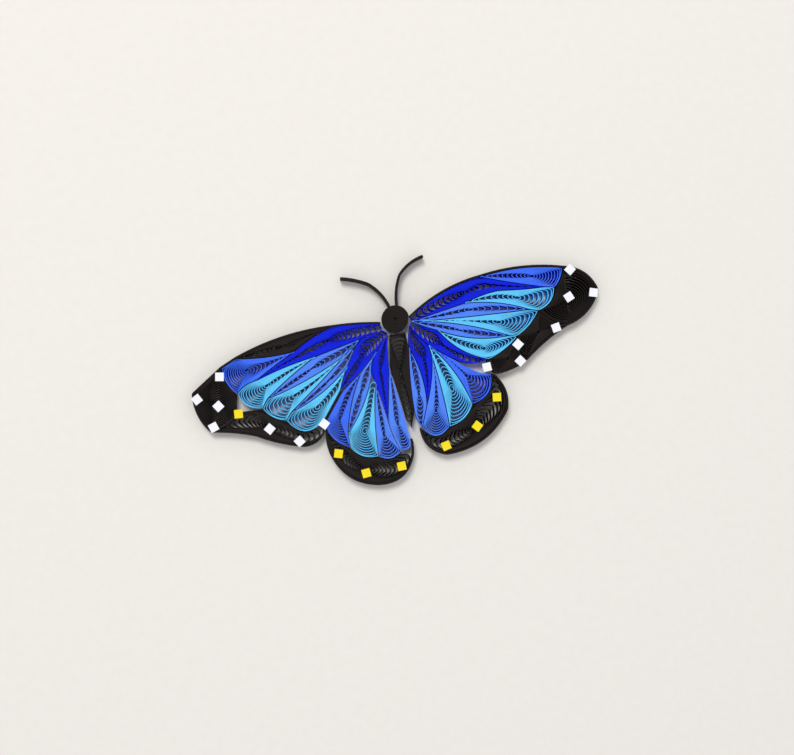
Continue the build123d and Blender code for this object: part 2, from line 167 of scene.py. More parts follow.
# Punched squares: the curl is how far a corner rises for each square millimetre
SQUARE_SIDE = 2.0
SQUARE_THICKNESS = 0.2
SQUARE_GLUE = 0.01
SQUARE_CELLS = 6
SQUARE_CURL = 0.06

# First seeds of the small differences between pieces
HEAD_SEED, EDGE_SEED, ANTENNA_SEED, SQUARE_SEED = 70, 80, 90, 200

# From the board's origin to the frame's, in millimetres
BOARD_TO_FRAME = (0.459383, 4.2054)

# Places on the board in millimetres, most of them counted from another pin
PINS: Dict[str, tuple] = {
    # Where the wings of one side meet
    "lf_front_root": (-3.6, 7.2), "lf_mid_root": (0.2, -1.4, "lf_front_root"),
    "l_root": (1.1, -0.9, "lf_mid_root"), "l_fan1": (-3.2, -4.1, "l_root"),
    "l_fan2": (-4.2, -4.2, "l_fan1"), "rf_front_root": (3.7, 7.8),
    "rf_mid_root": (0.0, -1.0, "rf_front_root"), "r_root": (-0.6, -1.1, "rf_mid_root"),
    "r_fan": (3.9, -5.1, "r_root"), "r_split": (5.5, -4.1, "r_fan"),
    # Left forewing, front to back
    "lf_front_top": (-11.4, 0.9, "lf_front_root"), "lf_royal_tip": (-9.6, -4.5, "lf_front_top"),
    "lf_leading_out": (-13.8, 0.3, "lf_royal_tip"), "lf_royal_front": (-3.6, -1.7, "lf_leading_out"),
    "lf_royal_back": (2.7, -6.6, "lf_royal_front"), "lf_front_out": (4.8, 2.5, "lf_royal_back"),
    "lf_sky1_tip": (4.6, -1.9, "lf_royal_tip"), "lf_sky1_back": (5.3, -4.2, "lf_royal_back"),
    "lf_wedge1_out": (1.5, 2.1, "lf_sky1_back"), "lf_wedge_root": (-5.9, -1.6, "lf_mid_root"),
    "lf_sky2_tip": (-3.7, -3.2, "lf_wedge_root"), "lf_sky2_back": (5.1, -3.6, "lf_sky1_back"),
    "lf_wedge2_out": (1.5, 1.8, "lf_sky2_back"), "lf_sky3_tip": (0.2, -2.7, "lf_sky2_tip"),
    "lf_root_out": (-5.5, -3.6, "l_fan2"), "lf_sky3_back": (-4.9, -6.5, "lf_root_out"),
    "lf_apex_front": (-7.3, -5.1, "lf_royal_front"), "lf_apex_in": (-0.9, -4.3, "lf_royal_back"),
    "lf_apex_back": (-6.2, -3.2, "lf_apex_in"), "lf_margin_top": (1.8, 0.3, "lf_apex_in"),
    "lf_margin_mid": (-7.1, -2.2, "lf_sky2_back"), "lf_margin_in": (-0.7, -2.5, "lf_sky3_back"),
    "lf_margin_low": (-4.7, -2.4, "lf_margin_in"),
    # Right forewing, front to back
    "rf_royal_tip": (17.8, 7.15, "rf_front_root"), "rf_royal_back": (17.4, -4.95, "rf_royal_tip"),
    "rf_royal_front": (2.4, 4.3, "rf_royal_back"), "rf_front_out": (-2.4, 0.4, "rf_royal_back"),
    "rf_sky1_tip": (13.3, 2.5, "rf_mid_root"), "rf_sky1_top": (8.5, 1.8, "rf_sky1_tip"),
    "rf_sky1_back": (-4.6, -5.0, "rf_royal_back"), "rf_wedge1_out": (-2.3, 0.6, "rf_sky1_back"),
    "rf_sky2_tip": (2.6, -0.3, "rf_mid_root"), "rf_sky2_back": (-6.1, -5.3, "rf_sky1_back"),
    "rf_wedge2_out": (-1.9, 0.45, "rf_sky2_back"), "rf_sky3_tip": (3.4, -2.7, "rf_sky2_tip"),
    "rf_root_out": (8.2, -1.2, "r_split"), "rf_apex_right": (7.3, -6.3, "rf_royal_front"),
    "rf_apex_low": (5.9, -4.1, "rf_sky1_back"), "rf_margin_split": (1.3, -5.5, "rf_sky2_back"),
    "rf_margin_low": (1.6, -3.3, "rf_root_out"),
    # Left hindwing, outer edge to body
    "lh_royal_out": (0.5, -2.7, "lf_sky3_back"), "lh_royal_in": (4.9, -4.7, "lh_royal_out"),
    "lh_wedge_out": (-0.2, 3.6, "lh_royal_in"), "lh_sky_tip": (-1.9, -5.4, "l_fan1"),
    "lh_sky_in": (6.2, -2.9, "lh_royal_in"), "lh_middle_tip": (0.7, -2.0, "lh_sky_tip"),
    "lh_dark_out": (1.6, -9.0, "lh_middle_tip"), "lh_middle_in": (5.6, 0.6, "lh_sky_in"),
    "lh_side_tip": (-0.7, -8.2, "l_root"), "lh_side_low": (2.4, 2.4, "lh_middle_in"),
    "lh_tail": (2.1, -12.9, "lh_side_tip"), "lh_margin_left": (0.3, -5.3, "lh_royal_out"),
    "lh_margin_right": (2.2, -1.1, "lh_middle_in"), "lh_margin_low": (-8.3, -5.65, "lh_margin_right"),
    # Right hindwing, body to outer edge
    "rh_side_tip": (-0.8, -5.0, "r_root"), "rh_dark_out": (2.3, -13.9, "rh_side_tip"),
    "rh_middle_tip": (0.4, -2.6, "r_fan"), "rh_tail": (-0.9, -15.2, "rh_side_tip"),
    "rh_middle_in": (1.2, -4.1, "rh_tail"), "rh_sky_in": (6.55, -0.7, "rh_middle_in"),
    "rh_sky_out": (6.15, 4.5, "rh_sky_in"), "rh_royal_out": (5.6, 6.3, "rh_sky_out"),
    "rh_margin_low": (-1.65, -5.9, "rh_sky_in"), "rh_margin_right": (2.1, -8.5, "rh_royal_out"),
    # Body
    "neck_left": (0.4, -0.4, "l_root"), "neck_right": (-1.1, -1.2, "r_root"),
    "tail": (1.15, -1.8, "lh_tail"),
}

# Ribs bow by this much, to the left going from the first pin to the second; the others are straight
BULGES: Dict[Tuple[str, str], float] = {
    ("lf_front_root", "lf_front_top"): -0.25, ("lf_front_top", "lf_royal_tip"): -0.45,
    ("lf_royal_tip", "lf_leading_out"): 0.5, ("lf_front_top", "lf_leading_out"): -1.2,
    ("lf_royal_front", "lf_royal_back"): -0.85, ("lf_royal_back", "lf_front_out"): 0.6,
    ("lf_front_out", "lf_royal_tip"): 0.13, ("lf_front_out", "lf_sky1_tip"): 0.37,
    ("lf_royal_back", "lf_sky1_back"): -1.15, ("lf_wedge1_out", "lf_sky1_tip"): 0.3,
    ("lf_wedge1_out", "lf_sky2_tip"): -0.65, ("lf_sky1_back", "lf_sky2_back"): -0.65,
    ("lf_wedge2_out", "lf_sky2_tip"): -0.15, ("lf_wedge2_out", "lf_sky3_tip"): -1.0,
    ("lf_sky2_back", "lf_sky3_back"): -2.5, ("lf_root_out", "lf_sky3_tip"): 0.15,
    ("lf_apex_front", "lf_apex_back"): -0.95, ("lf_apex_back", "lf_apex_in"): -0.5,
    ("lf_apex_back", "lf_margin_mid"): 0.3, ("lf_margin_mid", "lf_margin_low"): -0.4,
    ("lf_margin_low", "lf_margin_in"): -0.8,
    ("rf_front_root", "rf_royal_tip"): 1.25, ("rf_royal_tip", "rf_royal_front"): 1.05,
    ("rf_royal_front", "rf_royal_back"): 0.35, ("rf_front_out", "rf_royal_tip"): 0.2,
    ("rf_front_out", "rf_sky1_top"): 0.15, ("rf_sky1_top", "rf_sky1_tip"): -0.35,
    ("rf_royal_back", "rf_sky1_back"): 1.0, ("rf_wedge1_out", "rf_sky1_tip"): -0.8,
    ("rf_wedge1_out", "rf_sky2_tip"): 0.15, ("rf_sky1_back", "rf_sky2_back"): 0.45,
    ("rf_wedge2_out", "rf_sky2_tip"): -0.75, ("rf_wedge2_out", "rf_sky3_tip"): 1.2,
    ("rf_mid_root", "rf_sky3_tip"): -0.15, ("rf_sky2_back", "rf_root_out"): 0.5,
    ("rf_sky3_tip", "rf_root_out"): -1.3, ("r_split", "rf_root_out"): -1.1,
    ("rf_royal_front", "rf_apex_right"): 1.5, ("rf_apex_right", "rf_apex_low"): 1.4,
    ("rf_apex_low", "rf_sky1_back"): 0.7, ("rf_apex_low", "rf_margin_split"): -0.4,
    ("rf_margin_split", "rf_sky2_back"): 0.8, ("rf_margin_split", "rf_margin_low"): 0.45,
    ("rf_margin_low", "rf_root_out"): 0.5, ("r_root", "r_fan"): -0.2, ("r_fan", "r_split"): -0.1,
    ("lh_royal_out", "lh_royal_in"): -0.55, ("lh_wedge_out", "l_fan2"): 0.65,
    ("lh_wedge_out", "lh_sky_tip"): -0.8, ("lh_sky_tip", "l_fan1"): 0.5,
    ("lh_royal_in", "lh_sky_in"): -0.95, ("lh_sky_in", "lh_middle_tip"): 0.5,
    ("lh_sky_in", "lh_middle_in"): -1.1, ("lh_middle_in", "lh_dark_out"): 0.4,
    ("lh_middle_in", "lh_side_low"): -1.0, ("lh_tail", "lh_side_tip"): -0.1,
    ("lh_royal_out", "lh_margin_left"): -0.3, ("lh_margin_left", "lh_margin_low"): -2.1,
    ("lh_margin_low", "lh_margin_right"): -2.0, ("lh_margin_right", "lh_side_low"): -0.15,
    ("r_root", "rh_side_tip"): -0.2, ("rh_side_tip", "rh_dark_out"): 0.85,
    ("rh_dark_out", "rh_middle_tip"): -0.45, ("rh_tail", "rh_side_tip"): 0.35,
    ("rh_middle_in", "rh_tail"): 0.25, ("rh_middle_in", "rh_sky_in"): -2.0,
    ("rh_sky_in", "rh_middle_tip"): -0.3, ("rh_sky_in", "rh_sky_out"): -0.95,
    ("rh_sky_out", "r_fan"): -1.15, ("rh_sky_out", "rh_royal_out"): -1.6,
    ("rh_royal_out", "r_split"): 0.55, ("rh_middle_in", "rh_margin_low"): -1.5,
    ("rh_margin_low", "rh_margin_right"): -2.3, ("rh_margin_right", "rh_royal_out"): -1.25,
    ("tail", "rh_tail"): 0.1,
}


# Side, top edge and fleck colours of each paper: the lighter top colour is a painted highlight, the deeper
# side colour painted shade, the flecks a random tone
PAPERS: Tuple[DyedPaper, ...] = (
    DyedPaper(Slot.DARK_BLUE, "#0214D2", "#0C22E0", "#0210B4"),
    DyedPaper(Slot.ROYAL_BLUE, "#0A46FF", "#4474FF", "#0A38E8"),
    DyedPaper(Slot.CORNFLOWER_BLUE, "#2470FF", "#588CFF", "#1E60F6"),
    DyedPaper(Slot.SKY_BLUE, "#1CB8FF", "#66D0FF", "#18A8F4"),
    DyedPaper(Slot.BLACK, "#161110", "#251F1D", "#0F0B0A"),
    DyedPaper(Slot.WHITE, "#F6F6FA", "#FCFCFF", "#E8E8EE"),
    DyedPaper(Slot.YELLOW, "#FFDE08", "#FFE628", "#F0CC00"),
)

COILS: Dict[str, CoilPlan] = {
    "left_forewing_front_coil": CoilPlan(
        "lf_mid_root lf_front_root lf_front_top lf_royal_tip lf_front_out lf_sky1_tip lf_wedge_root",
        0.4, Slot.DARK_BLUE, 12),
    "left_forewing_royal_coil": CoilPlan(
        "lf_royal_tip lf_leading_out lf_royal_front lf_royal_back lf_front_out",
        0.68, Slot.ROYAL_BLUE, far="lf_royal_front lf_royal_back"),
    "left_forewing_sky_coil_1": CoilPlan(
        "lf_sky1_tip lf_front_out lf_royal_back lf_sky1_back lf_wedge1_out",
        0.66, Slot.SKY_BLUE, far="lf_royal_back lf_sky1_back"),
    "left_forewing_wedge_coil_1": CoilPlan(
        "lf_wedge_root lf_sky1_tip lf_wedge1_out lf_sky2_tip", 0.5, Slot.CORNFLOWER_BLUE),
    "left_forewing_sky_coil_2": CoilPlan(
        "lf_sky2_tip lf_wedge1_out lf_sky1_back lf_sky2_back lf_wedge2_out",
        0.66, Slot.SKY_BLUE, far="lf_sky1_back lf_sky2_back"),
    "left_forewing_wedge_coil_2": CoilPlan(
        "lf_wedge_root lf_sky2_tip lf_wedge2_out lf_sky3_tip", 0.5, Slot.CORNFLOWER_BLUE),
    "left_forewing_sky_coil_3": CoilPlan(
        "lf_sky3_tip lf_wedge2_out lf_sky2_back lf_sky3_back lf_root_out",
        0.62, Slot.SKY_BLUE, far="lf_sky2_back lf_sky3_back"),
    "left_forewing_root_coil": CoilPlan(
        "l_root lf_mid_root lf_wedge_root lf_sky3_tip lf_root_out l_fan2 l_fan1", 0.5, Slot.DARK_BLUE, 12),
    "left_forewing_leading_coil": CoilPlan("lf_front_top lf_leading_out lf_royal_tip", 0.5, Slot.BLACK, 13),
    "left_forewing_apex_coil": CoilPlan(
        "lf_royal_front lf_apex_front lf_apex_back lf_apex_in lf_royal_back",
        0.62, Slot.BLACK, 13, far="lf_apex_back lf_apex_in", tip=End.ROUND),
    "left_forewing_margin_coil": CoilPlan(
        "lf_apex_back lf_margin_mid lf_margin_low lf_margin_in lf_sky3_back lf_sky2_back lf_sky1_back"
        " lf_margin_top lf_apex_in", 0.5, Slot.BLACK, 13, far="lf_margin_in"),
    "right_forewing_front_coil": CoilPlan(
        "rf_front_root rf_royal_tip rf_front_out rf_sky1_top rf_sky1_tip rf_mid_root",
        0.43, Slot.DARK_BLUE, 12),
    "right_forewing_royal_coil": CoilPlan(
        "rf_royal_tip rf_royal_front rf_royal_back rf_front_out",
        0.64, Slot.ROYAL_BLUE, far="rf_royal_front rf_royal_back"),
    "right_forewing_sky_coil_1": CoilPlan(
        "rf_sky1_tip rf_sky1_top rf_front_out rf_royal_back rf_sky1_back rf_wedge1_out",
        0.6, Slot.SKY_BLUE, far="rf_royal_back rf_sky1_back"),
    "right_forewing_wedge_coil_1": CoilPlan(
        "rf_mid_root rf_sky1_tip rf_wedge1_out rf_sky2_tip", 0.5, Slot.CORNFLOWER_BLUE),
    "right_forewing_sky_coil_2": CoilPlan(
        "rf_sky2_tip rf_wedge1_out rf_sky1_back rf_sky2_back rf_wedge2_out",
        0.7, Slot.SKY_BLUE, far="rf_sky1_back rf_sky2_back"),
    "right_forewing_wedge_coil_2": CoilPlan(
        "rf_mid_root rf_sky2_tip rf_wedge2_out rf_sky3_tip", 0.5, Slot.CORNFLOWER_BLUE),
    "right_forewing_sky_coil_3": CoilPlan(
        "rf_sky3_tip rf_wedge2_out rf_sky2_back rf_root_out", 0.58, Slot.SKY_BLUE),
    "right_forewing_root_coil": CoilPlan(
        "rf_mid_root rf_sky3_tip rf_root_out r_split r_fan r_root", 0.45, Slot.DARK_BLUE, 12),
    "right_forewing_apex_coil": CoilPlan(
        "rf_sky1_back rf_royal_back rf_royal_front rf_apex_right rf_apex_low",
        0.5, Slot.BLACK, 13, far="rf_royal_front rf_apex_right", tip=End.ROUND),
    "right_forewing_margin_coil_1": CoilPlan(
        "rf_sky1_back rf_apex_low rf_margin_split rf_sky2_back",
        0.5, Slot.BLACK, 13, far="rf_margin_split rf_sky2_back", tip=End.ROUND),
    "right_forewing_margin_coil_2": CoilPlan(
        "rf_root_out rf_sky2_back rf_margin_split rf_margin_low",
        0.5, Slot.BLACK, 13, far="rf_sky2_back rf_margin_split", tip=End.ROUND),
    "left_hindwing_royal_coil": CoilPlan(
        "l_fan2 lh_wedge_out lh_royal_in lh_royal_out lh_royal_top lh_royal_side",
        0.68, Slot.ROYAL_BLUE, far="lh_royal_in lh_royal_out"),
    "left_hindwing_wedge_coil": CoilPlan("l_fan1 lh_sky_tip lh_wedge_out l_fan2", 0.5, Slot.CORNFLOWER_BLUE),
    "left_hindwing_sky_coil": CoilPlan(
        "lh_middle_tip lh_sky_in lh_royal_in lh_wedge_out lh_sky_tip",
        0.66, Slot.SKY_BLUE, far="lh_sky_in lh_royal_in"),
    "left_hindwing_middle_coil": CoilPlan(
        "lh_middle_tip lh_dark_out lh_middle_in lh_sky_in",
        0.68, Slot.CORNFLOWER_BLUE, far="lh_middle_in lh_sky_in"),
    "left_hindwing_dark_coil": CoilPlan(
        "l_root l_fan1 lh_sky_tip lh_middle_tip lh_dark_out lh_side_tip", 0.42, Slot.DARK_BLUE, 12),
    "left_hindwing_body_side_coil": CoilPlan(
        "lh_side_tip lh_dark_out lh_middle_in lh_side_low lh_tail",
        0.68, Slot.CORNFLOWER_BLUE, far="lh_middle_in lh_side_low"),
    "left_hindwing_margin_coil": CoilPlan(
        "lh_royal_out lh_margin_left lh_margin_low lh_margin_right lh_middle_in lh_sky_in lh_royal_in",
        0.5, Slot.BLACK, 13, far="lh_margin_right"),
    "right_hindwing_royal_coil": CoilPlan(
        "r_fan rh_sky_out rh_royal_out r_split", 0.62, Slot.ROYAL_BLUE, far="rh_sky_out rh_royal_out"),
    "right_hindwing_sky_coil": CoilPlan(
        "r_fan rh_middle_tip rh_sky_in rh_sky_out", 0.6, Slot.SKY_BLUE, far="rh_sky_in rh_sky_out"),
    "right_hindwing_middle_coil": CoilPlan(
        "rh_middle_tip rh_dark_out rh_middle_in rh_sky_in",
        0.68, Slot.CORNFLOWER_BLUE, far="rh_middle_in rh_sky_in"),
    "right_hindwing_dark_coil": CoilPlan(
        "r_root rh_side_tip rh_dark_out rh_middle_tip r_fan", 0.45, Slot.DARK_BLUE, 12),
    "right_hindwing_body_side_coil": CoilPlan(
        "rh_side_tip rh_dark_out rh_middle_in rh_tail", 0.58, Slot.CORNFLOWER_BLUE),
    "right_hindwing_margin_coil": CoilPlan(
        "rh_royal_out rh_sky_out rh_sky_in rh_middle_in rh_margin_low rh_margin_right",
        0.5, Slot.BLACK, 13, far="rh_middle_in"),
    "body_coil": CoilPlan(
        "tail lh_tail lh_side_tip neck_left neck_right rh_side_tip rh_tail", 0.6, Slot.BLACK, 13,
        far="neck_left neck_right"),
}

EDGE_STRIPS: Dict[str, str] = {
    "left_forewing_edge_strip": "lf_front_root lf_front_top lf_leading_out lf_royal_front lf_apex_front"
    " lf_apex_back lf_margin_mid lf_margin_low lf_margin_in lf_sky3_back lf_root_out",
    "right_forewing_edge_strip": "rf_root_out rf_margin_low rf_margin_split rf_apex_low rf_apex_right"
    " rf_royal_front rf_royal_tip rf_front_root",
    "left_hindwing_edge_strip": "lh_royal_out lh_margin_left lh_margin_low lh_margin_right lh_side_low",
    "right_hindwing_edge_strip": "rh_middle_in rh_margin_low rh_margin_right rh_royal_out",
}

# The angle where each antenna leaves the head, two ways on from there and the bows of both stretches
ANTENNAE: Dict[str, Tuple[float, Point, Point, Point]] = {
    "left_antenna": (107.0, (-4.2, 5.9), (-10.5, 8.1), (-0.55, -0.25)),
    "right_antenna": (75.0, (1.7, 7.0), (7.8, 10.6), (0.4, 0.6)),
}

# Middle and turn in degrees of each punched square
SQUARES: Dict[str, Tuple[Slot, List[Tuple[float, float, float]]]] = {
    "left_forewing_white_squares": (Slot.WHITE, [
        (-42.75, 0.3, -8), (-48.7, -4.2, 30), (-44.0, -6.5, 35), (-45.8, -11.2, 20), (-32.9, -13.5, 42),
        (-26.4, -17.4, 35), (-20.1, -14.2, 45)]),
    "left_forewing_yellow_square": (Slot.YELLOW, [(-39.6, -8.95, -3)]),
    "right_forewing_white_squares": (Slot.WHITE, [
        (42.9, 13.6, 40), (47.7, 7.4, -15), (41.7, 7.2, 25), (37.6, 0.4, 12), (28.0, -2.25, 40),
        (28.0, -6.2, 38), (19.9, -6.5, 5)]),
    "left_hindwing_yellow_squares": (Slot.YELLOW, [(-17.8, -21.6, -15), (-12.0, -27.1, 7), (-3.5, -26.7, 4)]),
    "right_hindwing_yellow_squares": (Slot.YELLOW, [(21.2, -13.9, -5), (15.6, -20.0, 45), (7.6, -23.5, 15)]),
}


def resampled(line: np.ndarray, count: int) -> np.ndarray:
    """A line's points spaced evenly along it.

    Args:
        line: points of an open line, in millimetres.
        count: how many points to return.

    Returns:
        The points, first and last kept.
    """
    runs = np.concatenate([[0.0], np.cumsum(np.linalg.norm(np.diff(line, axis=0), axis=1))])
    stops = np.linspace(0.0, runs[-1], count)
    return np.stack([np.interp(stops, runs, line[:, axis]) for axis in (0, 1)], axis=1)


def right_of(line: np.ndarray) -> np.ndarray:
    """Unit vectors to the right of a line at each of its points."""
    ways = np.gradient(line, axis=0)
    ways /= np.maximum(np.linalg.norm(ways, axis=1, keepdims=True), 1e-9)
    return np.stack([ways[:, 1], -ways[:, 0]], axis=1)


def bowed(start: Point, end: Point, bulge: float, steps: int = 14) -> np.ndarray:
    """Points from start up to, not including, end, along a line that bows to its left."""
    shares = np.arange(steps)[:, None] / steps
    first, last = np.array(start), np.array(end)
    way = (last - first) / np.linalg.norm(last - first)
    left = np.array([-way[1], way[0]])
    return first + (last - first) * shares + left * bulge * 4 * shares * (1 - shares)


@dataclass
class PinningBoard:
    """The board that the wings are laid out on: its pins, and the bows of the ribs between them."""

    offsets: Dict[str, tuple]
    bulges: Dict[Tuple[str, str], float]
    pins: Dict[str, Point] = field(default_factory=dict)

    def __post_init__(self) -> None:
        """Places the pins, and two beside the left forewing's edge strip, where the hindwing lies on it."""
        for name, (across, height, *base) in self.offsets.items():
            x, y = self.pins[base[0]] if base else (0.0, 0.0)
            self.pins[name] = (x + across, y + height)
        back, root = (np.array(self.pins[name]) for name in ("lf_sky3_back", "lf_root_out"))
        way = (root - back) / np.linalg.norm(root - back)
        clear = np.array([way[1], -way[0]]) * (EDGE_THICKNESS + GLUE_GAP)
        self.pins["lh_royal_top"] = tuple(back + clear)
        self.pins["lh_royal_side"] = tuple(root + clear)

    def chain(self, names: Sequence[str]) -> np.ndarray:
        """Points along the ribs from the first of the named pins to the last."""
        runs = []
        for start, end in zip(names, names[1:]):
            bulge = self.bulges.get((start, end), -self.bulges.get((end, start), 0.0))
            runs.append(bowed(self.pins[start], self.pins[end], bulge))
        return np.concatenate(runs + [np.array([self.pins[names[-1]]])])

    def loop(self, names: Sequence[str]) -> np.ndarray:
        """Points along the ribs round a coil, counter-clockwise from its tip."""
        line = self.chain(list(names) + [names[0]])[:-1]
        after = np.roll(line, -1, axis=0)
        area = np.sum(line[:, 0] * after[:, 1] - after[:, 0] * line[:, 1])
        return line if area > 0 else np.concatenate([line[:1], line[:0:-1]])

    def far_end(self, outline: np.ndarray, names: Sequence[str]) -> int:
        """The outline's point nearest the middle of the named pins or, with none, farthest from its tip."""
        if not names:
            return int(np.argmax(np.linalg.norm(outline - outline[0], axis=1)))
        end = np.mean([self.pins[name] for name in names], axis=0)
        return int(np.argmin(np.linalg.norm(outline - end, axis=1)))


@dataclass
class Lap:
    """The stops of one turn, from the tip along the first flank and back along the second.

    For each stop, side is its flank, near says that it lies between tip and eye, along runs from 0 beside
    the eye to 1 at the end, reach is the way from the eye to that end, and half the eye's to the flank.
    """

    phase: np.ndarray
    side: np.ndarray
    near: np.ndarray
    along: np.ndarray
    reach: np.ndarray
    half: np.ndarray


@dataclass
class Rim:
    """The outline as seen from the eye: a ray to each stop, the way to its end, and how oval the core is."""

    spot: np.ndarray
    rays: np.ndarray
    ends: np.ndarray
    beside_share: np.ndarray
    core: float = 1.0

    def blend(self, beside: np.ndarray, at_end: np.ndarray) -> np.ndarray:
        """Values that pass from one beside the eye to one at the end."""
        return beside * self.beside_share + at_end * (1 - self.beside_share)


@dataclass
class Winding:
    """The line of one strip, wound inside an outline."""

    outline: np.ndarray
    far: int
    eye: float
    most_turns: int
    ends: Tuple[End, End]
    samples: int = 96
    stations: np.ndarray = field(default_factory=lambda: np.linspace(0.0, 1.0, 401))
    middle: np.ndarray = field(init=False)
    rights: np.ndarray = field(init=False)
    widths: List[np.ndarray] = field(init=False)
    length: float = field(init=False)
    halves: np.ndarray = field(init=False)
    turns: int = field(init=False)

    def __post_init__(self) -> None:
        """Measures the outline, and settles how many turns it holds."""
        self.middle = self.middle_line()
        self.rights = right_of(self.middle)
        self.widths = self.flank_widths()
        self.length = float(np.sum(np.linalg.norm(np.diff(self.middle, axis=0), axis=1)))
        self.halves = np.array([np.interp(self.eye, self.stations, width) for width in self.widths])
        fitting = int(self.halves.min() * PACKED_SHARE / PITCH)
        self.turns = max(LEAST_TURNS, min(self.most_turns, fitting))

    def flanks(self) -> Tuple[np.ndarray, np.ndarray]:
        """The outline's two sides, both from the tip to the far end, half a strip inside."""
        way_back = np.concatenate([self.outline[:1], self.outline[: self.far - 1: -1]])
        sides = (self.outline[: self.far + 1], way_back)
        first, second = (resampled(side, FLANK_POINTS) for side in sides)
        inset = (GLUE_GAP + PAPER) / 2
        return first - right_of(first) * inset, second + right_of(second) * inset

    def middle_line(self) -> np.ndarray:
        """The smoothed line halfway between the two flanks."""
        line = sum(resampled(flank, len(self.stations)) for flank in self.flanks()) / 2
        reach = SMOOTHED_STATIONS
        before, after = 2 * line[0] - line[reach:0:-1], 2 * line[-1] - line[-2:-reach - 2:-1]
        padded = np.concatenate([before, line, after])
        kernel = np.hanning(2 * reach + 1)
        kernel /= kernel.sum()
        smooth = np.stack([np.convolve(padded[:, axis], kernel, "valid") for axis in (0, 1)], axis=1)
        return resampled(smooth, len(self.stations))

    def flank_widths(self) -> List[np.ndarray]:
        """How far each flank lies from the middle line, at every station."""
        result = []
        for flank, side in zip(self.flanks(), (1.0, -1.0)):
            nearest = np.argmin(np.linalg.norm(flank[:, None] - self.middle[None], axis=2), axis=1)
            across = np.sum((flank - self.middle[nearest]) * self.rights[nearest], axis=1) * side
            widest = np.zeros(len(self.stations))
            np.maximum.at(widest, nearest, across)
            hit = np.unique(nearest)
            result.append(np.interp(self.stations, self.stations[hit], widest[hit]))
        return result

    def at(self, places: np.ndarray, line: np.ndarray) -> np.ndarray:
        """Values of a line with one row for each station, read off at places between 0 and 1."""
        return np.stack([np.interp(places, self.stations, line[:, axis]) for axis in (0, 1)], axis=-1)

    def beside(self, lap: Lap, places: np.ndarray, widths: Sequence[np.ndarray]) -> np.ndarray:
        """Widths of each stop's own flank, read off at places between 0 and 1."""
        return np.where(lap.side == 0, *(np.interp(places, self.stations, width) for width in widths))

    def lap(self) -> Lap:
        """The stops that every turn has."""
        phase = np.arange(self.samples) / self.samples
        side = (phase >= 0.5).astype(int)
        share = (1 - np.cos(2 * math.pi * phase)) / 2
        near = share < self.eye
        reach = np.where(near, self.eye, 1 - self.eye) * self.length
        along = np.abs(share - self.eye) * self.length / reach
        return Lap(phase, side, near, along, reach, self.halves[side])

    def flanks_from(self, starts: Sequence[np.ndarray], to_far: bool) -> List[np.ndarray]:
        """Both flanks from beside the eye to the far end or, the other way, to the tip."""
        result = []
        for flank, start in zip(self.flanks(), starts):
            first = int(np.argmin(np.linalg.norm(flank - start, axis=1)))
            part = flank[first:] if to_far else flank[first::-1]
            result.append(resampled(part, len(self.stations)))
        return result

    def rim(self, lap: Lap) -> Rim:
        """The outline as the eye sees it, for the stops of a turn."""
        spot, right = (self.at(np.array(self.eye), line) for line in (self.middle, self.rights))
        starts = [spot + right * self.halves[0], spot - right * self.halves[1]]
        pairs = [self.flanks_from(starts, to_far) for to_far in (False, True)]
        first = (lap.side == 0)[:, None]
        sides = [np.where(first, *(self.at(lap.along, line) for line in pair)) for pair in pairs]
        rays = np.where(lap.near[:, None], *sides) - spot
        ends = np.where(lap.near, *(np.linalg.norm(pair[0][-1] - spot) for pair in pairs))
        rim = Rim(spot, rays, ends, np.cos(lap.along * math.pi / 2) ** 2)
        if self.ends[0] is End.ROUND:
            rim.core = float(np.min(np.linalg.norm(rays, axis=1) / rim.blend(lap.half, ends)))
        return rim

    def bent(self, lap: Lap, depth: np.ndarray, half: np.ndarray,
             inside: Sequence[np.ndarray]) -> Tuple[np.ndarray, np.ndarray, np.ndarray]:
        """One turn that bends back before a pointed end, measured along and across the middle line.

        Args:
            lap: the stops of a turn.
            depth: how far in the strip is wound at each stop, from 0 to 1.
            half: the turn's distance from the eye beside it, for each stop's flank.
            inside: how far the turn before lies from the middle line on each flank, at every station.

        Returns:
            For each stop its place along the middle line, its distance across, and the room there was.
        """
        to_end = lap.reach * (1 - depth) ** CROWDING + EYE_RADIUS * depth
        place = self.eye + lap.along * np.where(lap.near, -to_end, to_end) / self.length
        from_end = to_end * (1 - lap.along)
        flank = self.beside(lap, place, self.widths)
        bend = np.minimum(flank - lap.half + half, np.sqrt(from_end * (from_end + 2 * BEND_RADIUS)))
        across = bend * (1 - depth ** 2) + half * np.sqrt(1 - lap.along ** 2) * depth ** 2
        room = self.beside(lap, place, inside) - PITCH
        return place, np.minimum(across, room), room

    def swung(self, lap: Lap, rim: Rim, done: np.ndarray, half: np.ndarray) -> np.ndarray:
        """One turn that swings round before a round end, measured from the eye.

        Args:
            lap: the stops of a turn.
            rim: the outline as the eye sees it.
            done: the turns wound before each stop.
            half: the turn's distance from the eye beside it, for each stop's flank.

        Returns:
            The turn's points in millimetres.
        """
        depth = done / self.turns
        loose = np.maximum(done - TIGHT_TURNS, 0.0) / (self.turns - TIGHT_TURNS)
        deep = (rim.ends - PITCH * np.minimum(done, TIGHT_TURNS)) * (1 - loose) + EYE_RADIUS * loose
        distance = np.linalg.norm(rim.rays, axis=1)
        shrunk = distance * rim.blend(half / lap.half, deep / rim.ends)
        oval = rim.blend(half, deep) * rim.core
        radius = np.minimum(shrunk, oval) * depth + shrunk * (1 - depth)
        return rim.spot + rim.rays * (radius / distance)[:, None]

    def eased(self, line: np.ndarray) -> np.ndarray:
        """A wound line with all but its outermost turn smoothed, since the outline creases only that one."""
        for _ in range(EASING_PASSES):
            smooth = (line[:-2] + 2 * line[1:-1] + line[2:]) / 4
            line[self.samples + 1:-1] = smooth[self.samples:]
        steps = np.linalg.norm(np.diff(line, axis=0), axis=1)
        return line[np.concatenate([[True], steps > LEAST_STEP])]

